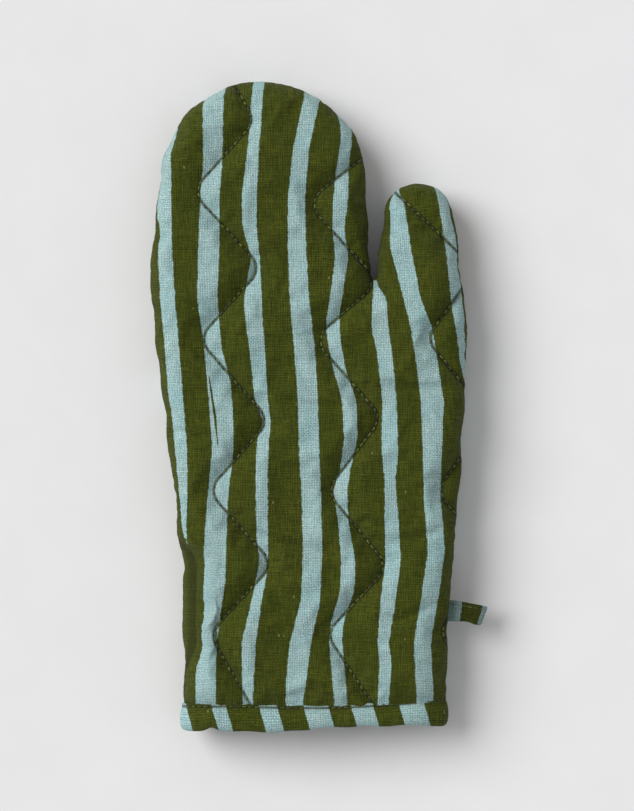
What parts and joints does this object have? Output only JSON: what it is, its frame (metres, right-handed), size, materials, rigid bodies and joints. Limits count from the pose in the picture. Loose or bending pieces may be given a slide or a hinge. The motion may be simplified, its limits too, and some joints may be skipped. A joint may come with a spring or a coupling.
{
  "type": "oven mitt",
  "caption": "Quilted oven mitt with a thumb, a bound cuff and a tape hanging loop; its fingers, thumb and loop fold.",
  "frame": {"origin": "on the table under the middle of the overall box", "axes": "+X to the thumb and loop side, +Y from the cuff to the fingertips, +Z out of the front panel"},
  "size_m": [0.1712, 0.33, 0.034],
  "materials": {
    "printed_cloth": "plain-woven cotton, olive green with pale blue hand-painted stripes",
    "thread": "olive sewing thread",
    "padding": "cotton batting",
    "lining": "unbleached cotton lining",
    "seam_edge": "overlocked seam allowance",
    "binding_tape": "binding tape of the printed cloth",
    "loop_tape": "loop tape folded from the printed cloth"
  },
  "bodies": {
    "palm": {"back_lining_palm": "lining", "back_outer_palm": "printed_cloth", "back_padding_palm": "padding", "back_quilting_palm": "thread", "binding_stitching": "thread", "cuff_binding": "binding_tape", "finger_fold_lining": "lining", "finger_fold_outer": "printed_cloth", "finger_fold_padding": "padding", "finger_fold_quilting": "thread", "front_lining_palm": "lining", "front_outer_palm": "printed_cloth", "front_padding_palm": "padding", "front_quilting_palm": "thread", "loop_sewn_ends": "loop_tape", "side_seam_palm": "seam_edge", "thumb_fold_lining": "lining", "thumb_fold_outer": "printed_cloth", "thumb_fold_padding": "padding", "thumb_fold_quilting": "thread"},
    "fingers": {"back_lining_fingers": "lining", "back_outer_fingers": "printed_cloth", "back_padding_fingers": "padding", "back_quilting_fingers": "thread", "front_lining_fingers": "lining", "front_outer_fingers": "printed_cloth", "front_padding_fingers": "padding", "front_quilting_fingers": "thread", "side_seam_fingers": "seam_edge"},
    "thumb": {"back_lining_thumb": "lining", "back_outer_thumb": "printed_cloth", "back_padding_thumb": "padding", "back_quilting_thumb": "thread", "front_lining_thumb": "lining", "front_outer_thumb": "printed_cloth", "front_padding_thumb": "padding", "front_quilting_thumb": "thread", "side_seam_thumb": "seam_edge"},
    "loop": {"hanging_loop": "loop_tape"}
  },
  "joints": [
    {"name": "finger_fold", "type": "hinge", "parent": "palm", "child": "fingers", "pos_m": [-0.025, 0.09, 0.017], "axis": [1, 0, 0], "range_deg": [0, 60], "stiffness_Nm_per_rad": 0.06, "deforming": ["finger_fold_lining", "finger_fold_outer", "finger_fold_padding", "finger_fold_quilting"]},
    {"name": "thumb_fold", "type": "hinge", "parent": "palm", "child": "thumb", "pos_m": [0.05, 0.0635, 0.017], "axis": [0.866, -0.5, 0], "range_deg": [0, 45], "stiffness_Nm_per_rad": 0.03, "deforming": ["thumb_fold_lining", "thumb_fold_outer", "thumb_fold_padding", "thumb_fold_quilting"]},
    {"name": "loop_swing", "type": "hinge", "parent": "palm", "child": "loop", "pos_m": [0.0686, -0.1038, 0.017], "axis": [0, -1, 0], "range_deg": [-70, 70], "stiffness_Nm_per_rad": 0.002}
  ]
}
